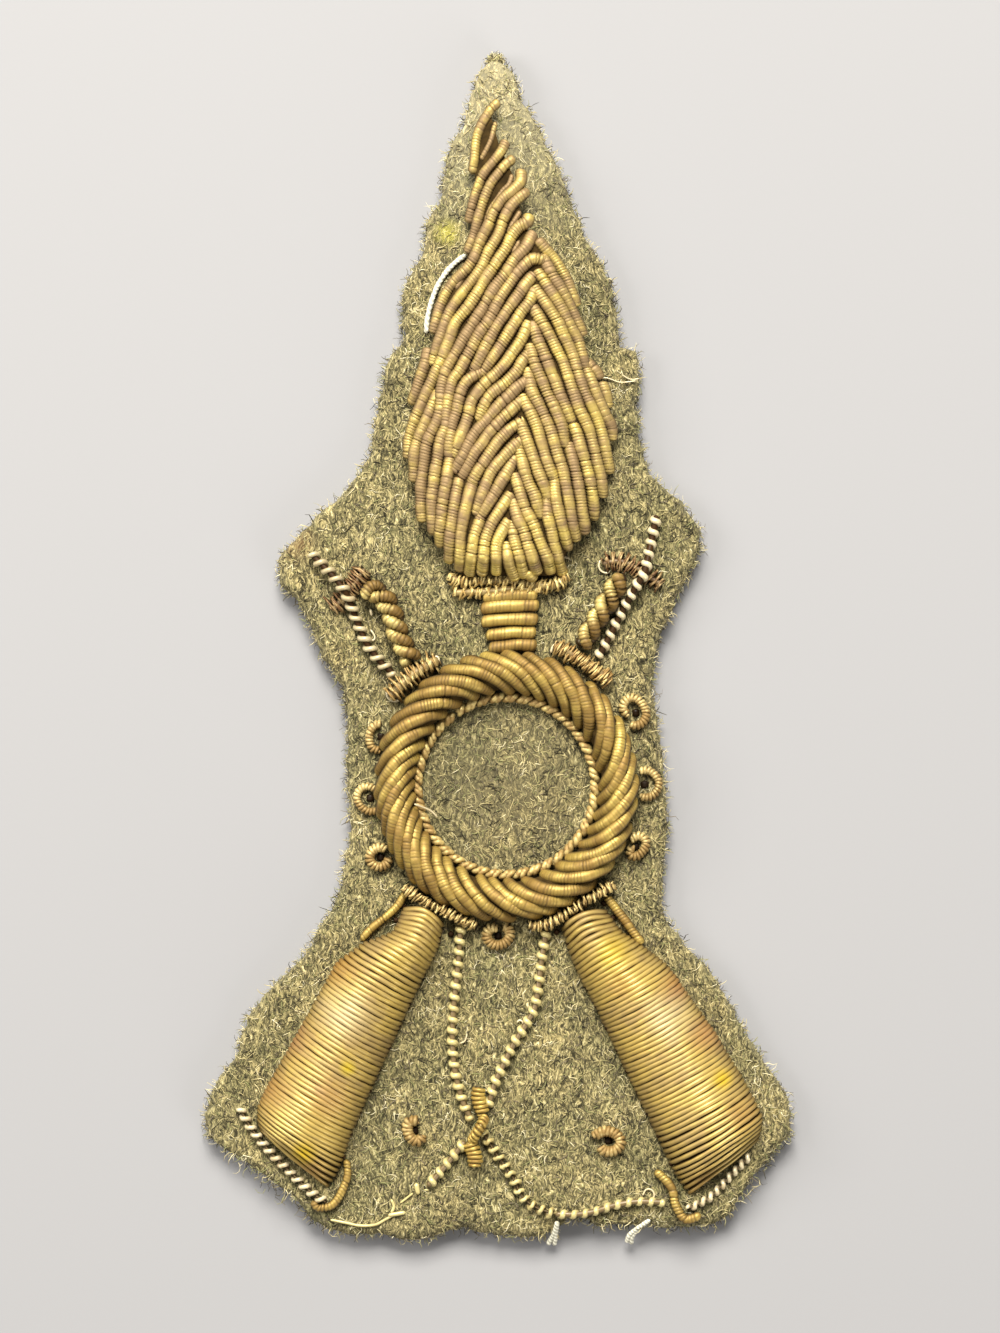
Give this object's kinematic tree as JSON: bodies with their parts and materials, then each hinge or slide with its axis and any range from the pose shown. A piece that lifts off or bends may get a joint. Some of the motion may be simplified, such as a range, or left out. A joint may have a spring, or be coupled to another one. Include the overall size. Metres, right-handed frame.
{
  "type": "embroidered cap badge",
  "caption": "Cloth cap badge: a flaming grenade over crossed rifles, embroidered in gold bullion wire on a felt backing.",
  "frame": {"origin": "middle of the back of the felt, under the centre of its length and width", "axes": "+Z out of the embroidered face, +Y from the rifle stocks to the flame's tip, +X to the right as seen from the front"},
  "size_m": [0.0396, 0.08, 0.0051],
  "materials": {
    "felt": "olive khaki wool felt, fuzzy",
    "white_thread": "white padding and sewing thread",
    "gold_purl": "fine coiled gilt wire, tarnished",
    "rough_purl": "rough check purl, brown with tarnish",
    "twisted_cord": "pale gilt wire wound round a dark core",
    "wound_wire": "flat gilt wire wound side by side over padding"
  },
  "bodies": {
    "root": {"cloth_backing": "felt", "padding_thread": "white_thread", "flame": "gold_purl", "flame_collar_upper": "rough_purl", "flame_collar_lower": "rough_purl", "grenade_neck": "gold_purl", "grenade_ring": "gold_purl", "ring_inner_cord": "twisted_cord", "ring_loop_right_upper": "gold_purl", "ring_loop_right_middle": "gold_purl", "ring_loop_right_lower": "gold_purl", "ring_loop_bottom": "gold_purl", "ring_loop_left_upper": "gold_purl", "ring_loop_left_middle": "gold_purl", "ring_loop_left_lower": "gold_purl", "left_barrel_cord": "twisted_cord", "right_barrel_cord": "twisted_cord", "left_barrel_band": "rough_purl", "right_barrel_band": "rough_purl", "left_forend": "gold_purl", "right_forend": "gold_purl", "left_ring_band": "rough_purl", "right_ring_band": "rough_purl", "left_stock_band": "rough_purl", "right_stock_band": "rough_purl", "left_stock": "wound_wire", "right_stock": "wound_wire", "left_trigger_guard": "gold_purl", "right_trigger_guard": "gold_purl", "left_heel_purl": "gold_purl", "right_heel_purl": "gold_purl", "left_butt_cord": "twisted_cord", "right_butt_cord": "twisted_cord", "left_sling": "twisted_cord", "right_sling_upper": "twisted_cord", "right_sling_lower": "twisted_cord", "sling_crossing_purl": "gold_purl", "sling_keeper_upper": "gold_purl", "sling_keeper_lower": "gold_purl", "sling_loose_end": "twisted_cord", "left_eyelet": "gold_purl", "right_eyelet": "gold_purl"}
  },
  "joints": []
}
